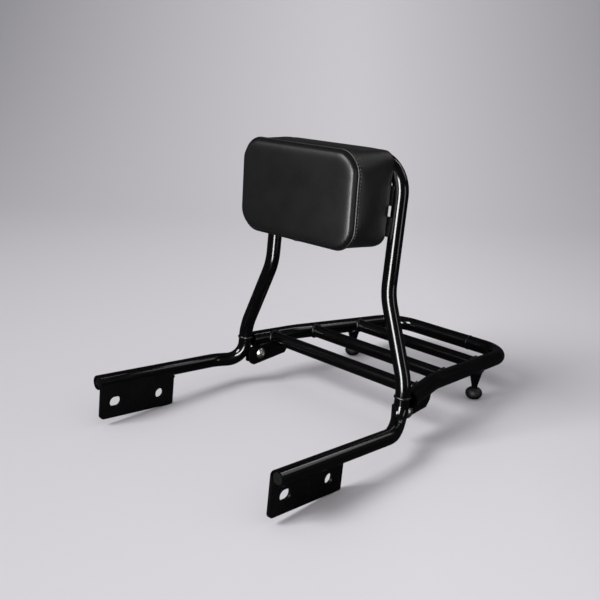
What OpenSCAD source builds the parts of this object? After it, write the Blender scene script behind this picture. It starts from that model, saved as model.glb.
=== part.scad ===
// Bolt-on passenger backrest with a luggage rack, for a motorcycle.
// Millimetres. +Z is up, -Y is the front of the motorcycle, +X its left side.
// The origin is on the floor, under the middle of the whole part.

/* [Tubes] */
// Outer diameter of the frame tubes
tube_d = 19; // [16:1:23]
// Wall of the frame tubes
tube_wall = 2; // [1.5:0.25:3]
// Outer diameter of the rack's loop
loop_d = 22; // [19:0.5:22.5]
// Outer diameter of the rack's cross bars
bar_d = 18; // [12:1:19]
// Wall of the cross bars
bar_wall = 1.5; // [1:0.25:2.5]
// Room left in a welded seam between two tubes
weld_gap = 0.1; // [0.05:0.05:0.3]

/* [Side rails] */
// Distance between the two rails at their front ends
rail_gap = 327; // [290:1:350]
// Distance between the two rails where their straight part ends
rail_gap_rear = 322; // [300:1:340]
// Level distance from a rail's front end to the hoop joint
rail_reach = 234; // [215:1:280]
// Level distance from the end of the straight part to the hoop joint
rail_bend_reach = 42; // [38:1:60]
// How far the front of each rail points up
rail_pitch = 5; // [2:0.5:9]
// Radius of the bend that turns a rail inwards
rail_in_r = 45; // [30:1:55]
// Radius of the bend that turns a rail up
rail_up_r = 26; // [22:1:28]
// How much lower the rail's corner is than the end of its straight part
rail_corner_dip = 1.5; // [0:0.5:4]
// Depth of the plastic plug in a rail's front end
plug_len = 14; // [8:1:24]
// How far the plug's face lies inside the tube
plug_recess = 1.2; // [0.5:0.1:3]

/* [Mounting plates] */
// Length along the rail
plate_len = 114; // [100:1:130]
// Distance from the rail's middle to the plate's lower edge
plate_drop = 48; // [40:1:60]
// Thickness of the plate
plate_t = 4; // [3:0.5:5]
// Radius of the plate's front lower corner
plate_front_r = 6; // [3:0.5:10]
// Radius of the plate's rear lower corner
plate_rear_r = 3; // [1.5:0.5:6]
// Diameter of the round bolt hole
hole_d = 13; // [9:0.5:14]
// Distance from the plate's front edge to the round hole
hole_from_front = 91; // [75:1:98]
// Height of the round hole above the lower edge
hole_up = 20; // [14:0.5:28]
// Width of the slotted bolt hole
slot_w = 13; // [9:0.5:14]
// Length of the slotted bolt hole
slot_len = 17; // [15:0.5:24]
// Distance from the plate's front edge to the middle of the slot
slot_from_front = 22; // [17:0.5:30]
// Height of the slot above the lower edge
slot_up = 21.5; // [14:0.5:28]

/* [Backrest hoop] */
// Height of the joint between a rail and the hoop
joint_z = 72; // [68:1:80]
// Distance between the hoop's legs at the joints
leg_gap = 285; // [270:1:300]
// Distance between the hoop's legs behind the pad
hoop_gap = 203; // [196:1:220]
// Height at which the legs start to lean inwards
hoop_low_z = 88; // [84:1:100]
// Height at which the legs turn upright again
hoop_high_z = 190; // [175:1:205]
// Height of the middle of the hoop's top tube
hoop_top_z = 352; // [345:1:360]
// Radius of the bends in the legs
leg_bend_r = 80; // [50:1:90]
// Radius of the hoop's two top corners
hoop_top_r = 42; // [36:1:48]
// How far the hoop leans back
hoop_lean = 5.1; // [0:0.1:10]

/* [Luggage rack] */
// Height of the side tubes' middle at their front ends
rack_front_z = 65; // [64.8:0.1:67]
// Height of the side tubes' middle where they turn down
rack_z = 64; // [62:0.5:67]
// Height of the rear tube's middle
rack_rear_z = 41; // [38:0.5:60]
// Gap between a hoop leg and the front end of a side tube
rack_clear = 4.5; // [4:0.5:6]
// Distance from the hoop joint to where the side tubes turn down
rack_bend = 86; // [78:1:94]
// Distance from the hoop joint to the middle of the rear tube
rack_reach = 310; // [296:1:330]
// Distance between the side tubes at the front
rack_gap_front = 286; // [280:1:287]
// Distance between the side tubes where they turn down
rack_gap_bend = 255; // [250:1:262]
// Distance between the side tubes at the rear corners
rack_gap_rear = 212; // [204:1:220]
// Radius of the small bend where the side tubes turn down
rack_bend_r = 90; // [50:5:110]
// Radius of the loop's rear corners
rack_corner_r = 45; // [35:1:52]
// Where the loop's two halves are welded together, from the middle
rack_seam_x = 40; // [20:1:44]
// Distance from the hoop joint to the front bar
bar_front = 45; // [42:1:52]
// Distance from the hoop joint to the middle bar
bar_middle = 122; // [112:1:134]
// Distance from the hoop joint to the rear bar
bar_rear = 217; // [204:1:228]

/* [Rack joint] */
// Thickness of the plates under the rack's side tubes
rack_plate_t = 5; // [4:0.5:6]
// Length of those plates
rack_plate_len = 75; // [60:1:84]
// Distance from the rack bolt down to the plates' lower edge
rack_plate_drop = 14; // [11:0.5:16]
// How far the lower edge rises towards the rear
rack_plate_rise = 4; // [0:0.5:8]
// Thickness of the tabs on the hoop joints
tab_t = 6; // [4:0.5:8]
// Gap between the rack bolt's head and the hoop leg
bolt_clear = 0.6; // [0.3:0.1:3]
// Height of the rack bolt
bolt_z = 45.5; // [44:0.5:45.5]
// Diameter of the rack bolt
bolt_d = 8; // [6:1:10]
// Diameter of the rack bolt's button head
bolt_head_d = 16; // [12:0.5:18]
// Height of the button head
bolt_head_h = 4.4; // [3:0.2:6]
// Hexagon socket across its flats
bolt_socket = 5; // [4:0.5:6]
// Outer diameter of the sleeve nut's barrel
sleeve_d = 10.5; // [10:0.5:13]

/* [Rack feet] */
// Distance from the hoop joint to the feet
foot_reach = 212; // [200:1:240]
// Diameter of the rubber foot
foot_d = 24; // [18:1:28]
// Height of the rubber foot
foot_h = 16; // [12:1:18]
// Diameter of the post at the rubber foot
post_d = 8.5; // [7:0.5:12]
// Diameter of the post at the rack tube
post_top_d = 19; // [14:0.5:19]

/* [Pad] */
// Width of the pad
pad_w = 192; // [175:1:195]
// Height of the pad
pad_h = 119; // [105:1:125]
// Thickness of the pad, board and foam together
pad_t = 60; // [48:1:70]
// Radius of the pad's corners
pad_r = 30; // [20:1:38]
// Height of the middle of the pad
pad_z = 306; // [298:1:310]
// How far the pad leans back, which is less than the hoop
pad_lean = 2; // [1:0.1:4]
// How far the front panel stands out in its middle
pad_crown = 6; // [3:0.5:10]
// Diameter of the piping round the front panel
piping_d = 4.5; // [3:0.25:6]
// Thickness of the cover
cover_t = 1.6; // [1:0.1:2.5]
// Thickness of the board inside the pad
board_t = 9; // [6:0.5:12]

/* [Pad fixing] */
// Height of the upper strap between the legs
strap_high_z = 311; // [306:1:314]
// Height of the lower strap between the legs
strap_low_z = 274; // [266:1:285]
// Width of the straps
strap_w = 24; // [18:1:28]
// Thickness of the straps
strap_t = 4; // [3:0.5:5]
// Distance between the two screws of a strap
screw_gap = 120; // [90:1:140]
// Diameter of the pad screws
screw_d = 6; // [5:1:8]
// Diameter of the pad screws' heads
screw_head_d = 11; // [10:0.5:13]
// Outer diameter of the threaded inserts in the board
insert_d = 10; // [9:0.5:12]
// Gap between the cover and the hoop
seat_gap = 0.3; // [0.2:0.1:1]

/* [Hidden] */
$fn = 48;

gloss_black = [0.05, 0.05, 0.055];
steel = [0.78, 0.78, 0.77];
vinyl_black = [0.1, 0.1, 0.105];
rubber_black = [0.07, 0.07, 0.07];
foam_grey = [0.55, 0.55, 0.5];
board_brown = [0.45, 0.33, 0.2];
washer_d = 13;
washer_t = 1.6;
// Clearance of a screw in its hole
fit_gap = 0.2;
// A bend is finer than the straight tube by a hair, and the straight tube laps over its ends
bend_step = 0.02;
bend_lap = 0.5;
// Size of a weld bead
weld_bead = 2;
// Chamfer of the rail plugs
plug_edge = 1;
// Metal left round the rack bolt in its tab, and how deep the tab reaches into the leg
tab_rim = 1;
tab_root = 2;
// Corner radius of the rack plates, and their reach in front of the rack bolt
rack_plate_r = 7;
rack_plate_lead = 19;
// Spigot of a foot post in its rubber foot
spigot_len = 6;
spigot_r = 2.5;
// How far the piping stands out, and the sewn edge of the cover inside it
piping_proud = 0.8;
seam_allowance = 6;
// Distance of a strap's end from the middle of the leg
strap_end = 1.5;
// Width of the cover's edge that is turned over the board
back_lip = 14;

tube_r = tube_d / 2;
bore_r = tube_r - tube_wall;
bar_r = bar_d / 2;
loop_r = loop_d / 2;
pitch_sin = sin(rail_pitch);
pitch_cos = cos(rail_pitch);

// The part reaches this far in front of the hoop joints and behind them.
plate_lead = (plate_drop - plate_front_r) * pitch_sin + plate_front_r * (1 - pitch_cos);
front_reach = rail_reach + max(tube_r * pitch_sin, plate_lead);
rear_reach = rack_reach + loop_r;
// The hoop joints lie here, which puts the origin under the middle of the part.
joint_y = (front_reach - rear_reach) / 2;
function hoop_y(z) = joint_y + (z - joint_z) * tan(hoop_lean);

// Rails: the rear lower corner of each plate just reaches the floor.
rail_end_y = joint_y - rail_reach;
rail_end_z = (plate_len - plate_rear_r) * pitch_sin
    + (plate_drop - plate_rear_r) * pitch_cos + plate_rear_r;
rail_bend_y = joint_y - rail_bend_reach;
rail_toe_in = (rail_gap - rail_gap_rear) / 2;
rail_toe = atan(rail_toe_in / (rail_bend_y - rail_end_y));
rail_run = norm([rail_toe_in, rail_bend_y - rail_end_y]);
rail_bend_z = rail_end_z - rail_run * tan(rail_pitch);
rail_corner_z = rail_bend_z - rail_corner_dip;
rail_points = [
    [rail_gap / 2, rail_end_y, rail_end_z],
    [rail_gap_rear / 2, rail_bend_y, rail_bend_z],
    [leg_gap / 2, hoop_y(rail_corner_z), rail_corner_z],
    [leg_gap / 2, joint_y, joint_z]
];
rail_radii = [0, rail_in_r, rail_up_r, 0];

hoop_points = [
    [leg_gap / 2, joint_y, joint_z],
    [leg_gap / 2, hoop_y(hoop_low_z), hoop_low_z],
    [hoop_gap / 2, hoop_y(hoop_high_z), hoop_high_z],
    [hoop_gap / 2, hoop_y(hoop_top_z), hoop_top_z],
    [-hoop_gap / 2, hoop_y(hoop_top_z), hoop_top_z],
    [-hoop_gap / 2, hoop_y(hoop_high_z), hoop_high_z],
    [-leg_gap / 2, hoop_y(hoop_low_z), hoop_low_z],
    [-leg_gap / 2, joint_y, joint_z]
];
hoop_radii = [
    0, leg_bend_r, leg_bend_r, hoop_top_r, hoop_top_r, leg_bend_r, leg_bend_r, 0
];

// Rack loop, from the front end of a side tube to the welded seam.
rack_rear_y = joint_y + rack_reach;
rack_bend_y = joint_y + rack_bend;
rack_start_y = joint_y + tube_r + rack_clear;
function rack_half(side) = [
    [side * rack_gap_front / 2, rack_start_y, rack_front_z],
    [side * rack_gap_bend / 2, rack_bend_y, rack_z],
    [side * rack_gap_rear / 2, rack_rear_y, rack_rear_z],
    [rack_seam_x, rack_rear_y, rack_rear_z]
];
rack_radii = [0, rack_bend_r, rack_corner_r, 0];
// A value at a given place along the side tubes, from its values at their three corners.
function along_rack(y, front, middle, rear) = y < rack_bend_y
    ? front + (middle - front) * (y - rack_start_y) / (rack_bend_y - rack_start_y)
    : middle + (rear - middle) * (y - rack_bend_y) / (rack_rear_y - rack_bend_y);
function rack_half_gap(y) = along_rack(y, rack_gap_front, rack_gap_bend, rack_gap_rear) / 2;
function rack_mid_z(y) = along_rack(y, rack_front_z, rack_z, rack_rear_z);

bolt_y = joint_y + tube_r + bolt_clear + bolt_head_d / 2;
// The rack plate lies against the inner side of the leg, and the tab on the plate.
rack_plate_out_x = leg_gap / 2 - tube_r;
rack_plate_in_x = rack_plate_out_x - rack_plate_t;
tab_out_x = rack_plate_out_x + tab_t;
screw_seat_x = tab_out_x + washer_t;

foot_y = joint_y + foot_reach;
foot_top_z = rack_mid_z(foot_y);
slot_side = (slot_len - slot_w) / 2;
tab_end_r = bolt_head_d / 2 + tab_rim;
screw_len = washer_t + tab_t + rack_plate_t - 1;

// Pad, in the frame that on_pad gives: its back face is at y = 0.
board_back_y = -cover_t;
board_front_y = board_back_y - board_t;
pad_seam_y = -pad_t;
// The lower edge of the pad's back all but touches the hoop.
pad_low_z = pad_z - pad_h / 2;
function hoop_front_y(z) = hoop_y(z) - tube_r / cos(hoop_lean);
function pad_back_y(z) = hoop_front_y(pad_low_z) - seat_gap + (z - pad_low_z) * tan(pad_lean);
// Where a strap at height z lies behind the pad's back face.
function strap_front_y(z) = hoop_front_y(z) - pad_back_y(z);

// Turn a child that stands along +Z so that it lies along the direction d.
module along(d) {
    len_xy = norm([d[0], d[1]]);
    rotate([0, atan2(len_xy, d[2]), atan2(d[1], d[0])]) children();
}

// A straight rod from point a to point b.
module rod(a, b, r) {
    translate(a) along(b - a) cylinder(r = r, h = norm(b - a));
}

function unit(v) = v / norm(v);
// Length of tube that a bend of radius r takes from each side of its corner.
function bend_cut(a, b, c, r) =
    r <= 0 ? 0 : r * tan(bend_angle(a, b, c) / 2);
function bend_angle(a, b, c) = acos(max(-1, min(1, unit(b - a) * unit(c - b))));

// A bend of the rod from direction u to direction w round the corner b.
module bend(a, b, c, bend_r, r) {
    u = unit(b - a);
    w = unit(c - b);
    turn = bend_angle(a, b, c);
    cut = bend_cut(a, b, c, bend_r);
    start = b - u * cut;
    // The side that the bend turns to.
    inward = unit(w - u * (u * w));
    axis = cross(u, inward);
    multmatrix([
        [-inward[0], u[0], axis[0], start[0] + inward[0] * bend_r],
        [-inward[1], u[1], axis[1], start[1] + inward[1] * bend_r],
        [-inward[2], u[2], axis[2], start[2] + inward[2] * bend_r],
        [0, 0, 0, 1]
    ]) rotate_extrude(angle = turn, $fn = 96)
        translate([bend_r, 0]) circle(r = r);
}

// A bent rod through the given corners, with a bend radius at each.
module bent_rod(points, radii, r) {
    last = len(points) - 1;
    for (i = [0 : last - 1]) {
        a = points[i];
        b = points[i + 1];
        u = unit(b - a);
        cut_a = i == 0 ? 0 : bend_cut(points[i - 1], a, b, radii[i]);
        cut_b = i == last - 1 ? 0 : bend_cut(a, b, points[i + 2], radii[i + 1]);
        lap_a = i == 0 ? 0 : bend_lap;
        lap_b = i == last - 1 ? 0 : bend_lap;
        rod(a + u * (cut_a - lap_a), b - u * (cut_b - lap_b), r);
    }
    for (i = [1 : last - 1])
        bend(points[i - 1], points[i], points[i + 1], radii[i], r - bend_step);
}

// The same path with both ends moved outwards, for a clean cut.
function longer(points, extra) = let (last = len(points) - 1) [
    for (i = [0 : last])
        i == 0 ? points[0] + unit(points[0] - points[1]) * extra
        : i == last ? points[last] + unit(points[last] - points[last - 1]) * extra
        : points[i]
];

// A bent tube, open at both ends.
module bent_tube(points, radii, r, wall) {
    difference() {
        bent_rod(points, radii, r);
        bent_rod(longer(points, 1), radii, r - wall);
    }
}

// A rectangle in the middle of the sheet with round corners.
module round_rect(w, h, r) {
    square([w - 2 * r, h], center = true);
    square([w, h - 2 * r], center = true);
    for (x = [-1, 1], y = [-1, 1])
        translate([x * (w / 2 - r), y * (h / 2 - r)]) circle(r = r, $fn = 96);
}

// The left side as drawn, or its mirror image.
module on_side(side) {
    mirror([side < 0 ? 1 : 0, 0, 0]) children();
}

// Origin at a rail's front end, Y back along the rail, X outwards, Z up.
module on_rail() {
    translate([rail_gap / 2, rail_end_y, rail_end_z])
        rotate([-rail_pitch, 0, rail_toe]) children();
}

// Origin on the pad's back face at height z, Z up along the leaning pad.
module on_pad(z) {
    translate([0, pad_back_y(z), z]) rotate([-pad_lean, 0, 0]) children();
}

// An outline drawn in Y and Z, made a sheet between two places along X.
module side_sheet(x_in, x_out) {
    translate([x_in, 0, 0]) rotate([90, 0, 90])
        linear_extrude(height = x_out - x_in) children();
}

// A round rod along X.
module cross_rod(x_in, x_out, r) {
    translate([x_in, 0, 0]) rotate([0, 90, 0]) cylinder(r = r, h = x_out - x_in);
}

// Side rails
module side_rail(side) {
    color(gloss_black) on_side(side)
        bent_tube(rail_points, rail_radii, tube_r, tube_wall);
}

module rail_plug(side) {
    plug_r = bore_r - fit_gap / 2;
    color(rubber_black) on_side(side) on_rail()
        translate([0, plug_recess, 0]) rotate([-90, 0, 0])
            rotate_extrude() polygon([
                [0, 0], [plug_r - plug_edge, 0], [plug_r, plug_edge],
                [plug_r, plug_len], [0, plug_len]
            ]);
}

module mounting_plate(side) {
    inner_x = -tube_r;
    color(gloss_black) on_side(side) on_rail() difference() {
        side_sheet(inner_x, inner_x + plate_t) difference() {
            plate_outline();
            translate([hole_from_front, hole_up - plate_drop])
                circle(d = hole_d, $fn = 64);
            for (end = [-1, 1])
                translate([slot_from_front + end * slot_side, slot_up - plate_drop])
                    circle(d = slot_w, $fn = 64);
            translate([slot_from_front, slot_up - plate_drop])
                square([2 * slot_side, slot_w], center = true);
        }
        translate([0, -1, 0]) rotate([-90, 0, 0])
            cylinder(r = tube_r + weld_gap, h = plate_len + 2, $fn = 96);
    }
}

module plate_outline() {
    translate([0, plate_front_r - plate_drop])
        square([plate_len, plate_drop - plate_front_r]);
    translate([plate_front_r, -plate_drop])
        square([plate_len - plate_front_r - plate_rear_r, plate_front_r + 1]);
    translate([plate_len / 2, plate_rear_r - plate_drop])
        square([plate_len / 2, plate_front_r + 1]);
    translate([plate_front_r, plate_front_r - plate_drop])
        circle(r = plate_front_r, $fn = 64);
    translate([plate_len - plate_rear_r, plate_rear_r - plate_drop])
        circle(r = plate_rear_r, $fn = 64);
}

// Hoop and the joints at its feet
module backrest_hoop() {
    color(gloss_black) bent_tube(hoop_points, hoop_radii, tube_r, tube_wall);
}

module joint_weld(side) {
    color(gloss_black) on_side(side) translate([leg_gap / 2, joint_y, joint_z])
        rotate([-hoop_lean, 0, 0]) rotate_extrude($fn = 96) difference() {
            translate([tube_r - weld_bead / 3, 0]) circle(r = weld_bead);
            translate([0, -weld_bead * 2]) square([tube_r, weld_bead * 4]);
        }
}

module hoop_tab(side) {
    color(gloss_black) on_side(side) difference() {
        side_sheet(rack_plate_out_x, tab_out_x) difference() {
            union() {
                translate([bolt_y, bolt_z]) circle(r = tab_end_r, $fn = 64);
                translate([joint_y - tab_root, bolt_z - tab_end_r])
                    square([bolt_y - joint_y + tab_root, 2 * tab_end_r]);
            }
            translate([bolt_y, bolt_z]) circle(r = sleeve_d / 2 + fit_gap, $fn = 64);
        }
        bent_rod(longer(rail_points, 1), rail_radii, tube_r + weld_gap);
        bent_rod(longer(rack_half(1), 1), rack_radii, loop_r + fit_gap);
    }
}

// Rack joint
module rack_plate(side) {
    bottom_z = bolt_z - rack_plate_drop;
    front_y = bolt_y - rack_plate_lead;
    rear_y = front_y + rack_plate_len;
    color(gloss_black) on_side(side) difference() {
        side_sheet(rack_plate_in_x, rack_plate_out_x) difference() {
            union() {
                polygon([
                    [front_y, bottom_z + rack_plate_r],
                    [front_y + rack_plate_r, bottom_z],
                    [rear_y - rack_plate_r, bottom_z + rack_plate_rise],
                    [rear_y, bottom_z + rack_plate_rise + rack_plate_r * 1.2],
                    [rear_y + rack_plate_r / 2, rack_z - loop_r / 2],
                    [rack_start_y, rack_front_z - loop_r / 2],
                    [front_y, rack_front_z - loop_r / 2 - 2]
                ]);
                translate([front_y + rack_plate_r, bottom_z + rack_plate_r])
                    circle(r = rack_plate_r, $fn = 64);
            }
            translate([bolt_y, bolt_z]) circle(r = sleeve_d / 2 + fit_gap, $fn = 64);
        }
        bent_rod(longer(rack_half(1), 1), rack_radii, loop_r + weld_gap);
        translate([0, joint_y + bar_front, rack_mid_z(joint_y + bar_front)])
            cross_rod(0, rack_gap_front / 2, bar_r + weld_gap);
    }
}

// A screw's button head on the face x = 0, with its hexagon socket.
module button_head(d, h, socket) {
    difference() {
        rotate([0, 90, 0]) rotate_extrude($fn = 64) intersection() {
            translate([0, h - head_sphere(d, h)]) circle(r = head_sphere(d, h), $fn = 96);
            square([d / 2, h]);
        }
        translate([h - socket / 2, 0, 0]) rotate([0, 90, 0])
            cylinder(d = socket / cos(30), h = socket, $fn = 6);
    }
}
function head_sphere(d, h) = (d * d / 4 + h * h) / (2 * h);

module rack_screw(side) {
    color(steel) on_side(side) translate([screw_seat_x, bolt_y, bolt_z]) {
        button_head(bolt_head_d, bolt_head_h, bolt_socket);
        cross_rod(-screw_len, 0.5, bolt_d / 2);
    }
}

module screw_washer(side) {
    color(steel) on_side(side) translate([tab_out_x, bolt_y, bolt_z]) difference() {
        cross_rod(0, washer_t, bolt_head_d / 2);
        cross_rod(-1, washer_t + 1, bolt_d / 2 + fit_gap);
    }
}

module sleeve_nut(side) {
    color(steel) on_side(side) translate([rack_plate_in_x, bolt_y, bolt_z]) {
        mirror([1, 0, 0]) button_head(bolt_head_d, bolt_head_h, bolt_socket);
        difference() {
            cross_rod(-0.5, rack_plate_t + tab_t - fit_gap, sleeve_d / 2);
            cross_rod(0, rack_plate_t + tab_t + 1, bolt_d / 2 + fit_gap / 2);
        }
    }
}

// Luggage rack
module rack_loop(side) {
    color(gloss_black) bent_tube(rack_half(side), rack_radii, loop_r, tube_wall);
}

module rack_tubes(r) {
    bent_rod(longer(rack_half(1), 1), rack_radii, r);
    bent_rod(longer(rack_half(-1), 1), rack_radii, r);
}

module rack_bar(reach) {
    y = joint_y + reach;
    half = rack_half_gap(y);
    color(gloss_black) difference() {
        translate([0, y, rack_mid_z(y)]) difference() {
            cross_rod(-half, half, bar_r);
            cross_rod(-half - 1, half + 1, bar_r - bar_wall);
        }
        rack_tubes(loop_r + weld_gap);
    }
}

// Feet
module foot_post(side) {
    color(gloss_black) on_side(side)
        translate([rack_half_gap(foot_y), foot_y, 0]) difference() {
            rotate_extrude($fn = 64) polygon([
                [0, foot_h - spigot_len], [spigot_r, foot_h - spigot_len],
                [spigot_r, foot_h], [post_d / 2, foot_h],
                [post_d / 2, foot_h + 3], [post_top_d / 2, foot_top_z - loop_r + 2],
                [post_top_d / 2, foot_top_z - 2], [0, foot_top_z - 2]
            ]);
            translate([-rack_half_gap(foot_y), -foot_y, 0])
                bent_rod(longer(rack_half(1), 1), rack_radii, loop_r + weld_gap);
        }
}

module rubber_foot(side) {
    edge = foot_h / 2;
    color(rubber_black) on_side(side)
        translate([rack_half_gap(foot_y), foot_y, 0]) rotate_extrude($fn = 96) difference() {
            union() {
                square([foot_d / 2 - edge, foot_h]);
                intersection() {
                    translate([foot_d / 2 - edge, edge]) circle(r = edge, $fn = 64);
                    square([foot_d / 2, foot_h]);
                }
            }
            translate([0, foot_h - spigot_len - fit_gap])
                square([spigot_r + fit_gap / 2, spigot_len + 1]);
        }
}

// Pad and what holds it: each strap ends on the front of the legs' tubes.
module pad_strap(z) {
    half = leg_x(z + strap_w / 2) - strap_end;
    color(gloss_black) difference() {
        on_pad(z) translate([-half, strap_front_y(z), -strap_w / 2])
            cube([2 * half, strap_t, strap_w]);
        at_screws(z) translate([0, 0, strap_front_y(z) - 1])
            cylinder(d = screw_d + 2 * fit_gap, h = strap_t + 2);
        bent_rod(hoop_points, hoop_radii, tube_r + weld_gap);
    }
}

// Half the distance between the legs at a height behind the pad.
function leg_x(z) = let (up = max(0, z - (hoop_top_z - hoop_top_r)))
    hoop_gap / 2 - hoop_top_r + sqrt(hoop_top_r * hoop_top_r - up * up);

// The two places on a strap where a screw holds the pad, with Z back along the screw.
module at_screws(z) {
    for (x = [-1, 1])
        on_pad(z) translate([x * screw_gap / 2, 0, 0]) rotate([-90, 0, 0]) children();
}

module pad_screws() {
    color(steel) for (z = [strap_low_z, strap_high_z]) at_screws(z) {
        back = strap_front_y(z) + strap_t + washer_t;
        translate([0, 0, back]) rotate([0, -90, 0])
            button_head(screw_head_d, screw_head_d * 0.3, screw_d * 0.6);
        translate([0, 0, board_front_y + 1])
            cylinder(d = screw_d, h = back + 0.5 - board_front_y - 1);
    }
}

module pad_washers() {
    color(steel) for (z = [strap_low_z, strap_high_z]) at_screws(z) {
        translate([0, 0, strap_front_y(z) + strap_t]) ring(washer_d / 2, washer_t);
        translate([0, 0, board_back_y])
            ring(washer_d / 2, strap_front_y(z) - board_back_y);
    }
}

module ring(r, h) {
    difference() {
        cylinder(r = r, h = h, $fn = 64);
        translate([0, 0, -1]) cylinder(r = screw_d / 2 + fit_gap, h = h + 2);
    }
}

module pad_inserts() {
    color(steel) for (z = [strap_low_z, strap_high_z])
        at_screws(z) translate([0, 0, board_front_y]) difference() {
            cylinder(d = insert_d, h = board_t);
            translate([0, 0, -1])
                cylinder(r = screw_d / 2 + fit_gap / 2, h = board_t + 2);
        }
}

// The pad's outline made solid between two places in front of the hoop.
module pad_block(front_y, back_y, inset) {
    translate([0, back_y, 0]) rotate([90, 0, 0])
        linear_extrude(height = back_y - front_y)
            round_rect(pad_w - 2 * inset, pad_h - 2 * inset, pad_r - inset);
}

// The part of the pad behind its crowned front panel, with an inset on all sides.
module crowned_block(back_y, inset, front_inset) {
    intersection() {
        pad_block(pad_seam_y - pad_crown, back_y, inset);
        crown_tunnel(front_inset, true);
        crown_tunnel(front_inset, false);
    }
}

module crown_tunnel(inset, upright) {
    half = upright ? pad_w / 2 : pad_h / 2;
    r = (half * half + pad_crown * pad_crown) / (2 * pad_crown);
    translate([0, pad_seam_y - pad_crown + inset + r, 0])
        rotate([0, upright ? 0 : 90, 0])
            cylinder(r = r, h = 2 * pad_w, center = true, $fn = 360);
}

// The hollow inside the cover, or with a gap the foam that fills it.
module pad_inside(back_y, gap) {
    crowned_block(pad_seam_y + seam_allowance + 1, seam_allowance + gap, cover_t + gap);
    pad_block(pad_seam_y + seam_allowance + gap, back_y, cover_t + gap);
}

module pad_board() {
    color(board_brown) difference() {
        on_pad(pad_z) pad_block(board_front_y, board_back_y, cover_t + fit_gap);
        for (z = [strap_low_z, strap_high_z])
            at_screws(z) translate([0, 0, board_front_y - 1])
                cylinder(d = insert_d, h = board_t + 2);
    }
}

module pad_foam() {
    color(foam_grey) on_pad(pad_z) pad_inside(board_front_y - seat_gap, seat_gap);
}

module pad_cover() {
    color(vinyl_black) on_pad(pad_z) difference() {
        crowned_block(0, 0, 0);
        pad_inside(board_back_y, 0);
        pad_block(board_back_y - 1, 1, back_lip);
        piping_ring(piping_d / 2 + weld_gap);
    }
}

module pad_piping() {
    color(vinyl_black) on_pad(pad_z) piping_ring(piping_d / 2);
}

// A rod that runs round the edge of the front panel.
module piping_ring(r) {
    inset = piping_d / 2 - piping_proud;
    half_w = pad_w / 2 - inset;
    half_h = pad_h / 2 - inset;
    corner_r = pad_r - inset;
    translate([0, pad_seam_y + inset, 0]) for (side = [-1, 1]) {
        for (end = [-1, 1]) mirror([side < 0 ? 1 : 0, 0, 0])
            mirror([0, 0, end < 0 ? 1 : 0])
                translate([half_w - corner_r, 0, half_h - corner_r])
                    rotate([90, 0, 0]) rotate_extrude(angle = 90, $fn = 96)
                        translate([corner_r, 0]) circle(r = r);
        translate([side * half_w, 0, corner_r - half_h])
            cylinder(r = r, h = 2 * (half_h - corner_r));
        translate([corner_r - half_w, 0, side * half_h]) rotate([0, 90, 0])
            cylinder(r = r, h = 2 * (half_w - corner_r));
    }
}

side_rail(1);  // left_side_rail
side_rail(-1);  // right_side_rail
rail_plug(1);  // left_rail_plug
rail_plug(-1);  // right_rail_plug
mounting_plate(1);  // left_mounting_plate
mounting_plate(-1);  // right_mounting_plate
backrest_hoop();
joint_weld(1);  // left_joint_weld
joint_weld(-1);  // right_joint_weld
hoop_tab(1);  // left_hoop_tab
hoop_tab(-1);  // right_hoop_tab
rack_plate(1);  // left_rack_plate
rack_plate(-1);  // right_rack_plate
rack_screw(1);  // left_rack_screw
rack_screw(-1);  // right_rack_screw
sleeve_nut(1);  // left_sleeve_nut
sleeve_nut(-1);  // right_sleeve_nut
screw_washer(1);  // left_screw_washer
screw_washer(-1);  // right_screw_washer
rack_loop(1);  // rack_loop_left
rack_loop(-1);  // rack_loop_right
rack_bar(bar_front);  // rack_bar_front
rack_bar(bar_middle);  // rack_bar_middle
rack_bar(bar_rear);  // rack_bar_rear
foot_post(1);  // left_foot_post
foot_post(-1);  // right_foot_post
rubber_foot(1);  // left_rubber_foot
rubber_foot(-1);  // right_rubber_foot
pad_strap(strap_high_z);  // upper_pad_strap
pad_strap(strap_low_z);  // lower_pad_strap
pad_screws();
pad_washers();
pad_inserts();
pad_board();
pad_foam();
pad_cover();
pad_piping();
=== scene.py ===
"""Looks of a bolt-on motorcycle backrest with a padded hoop and a luggage rack.

The frame is tube and sheet under gloss black powder coat, the rack is bolted
on with stainless button heads, and the pad is foam under satin black vinyl.
"""

import logging
import math
from dataclasses import dataclass
from enum import Enum
from typing import Any, Callable, Iterable, Optional, Sequence

import bpy
from mathutils import Matrix, Vector


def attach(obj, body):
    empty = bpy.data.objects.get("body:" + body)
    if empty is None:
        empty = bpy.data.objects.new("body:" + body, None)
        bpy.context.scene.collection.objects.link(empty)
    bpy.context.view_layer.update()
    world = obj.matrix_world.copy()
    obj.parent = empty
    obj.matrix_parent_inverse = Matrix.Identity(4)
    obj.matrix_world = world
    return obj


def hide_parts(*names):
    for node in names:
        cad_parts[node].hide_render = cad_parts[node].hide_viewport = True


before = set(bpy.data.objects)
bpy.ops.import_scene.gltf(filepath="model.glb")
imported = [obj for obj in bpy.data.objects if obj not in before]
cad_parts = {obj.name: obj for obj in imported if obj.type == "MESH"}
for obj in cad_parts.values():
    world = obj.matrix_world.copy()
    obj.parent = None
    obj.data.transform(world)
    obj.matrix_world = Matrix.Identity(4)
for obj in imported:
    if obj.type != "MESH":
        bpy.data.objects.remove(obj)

LOG = logging.getLogger("backrest")
MM = 0.001
# Where the hoop stands on the rails, in mm along the part.
JOINT_Y = -41.658
Point = tuple[float, float, float]


# Helpers


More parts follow.
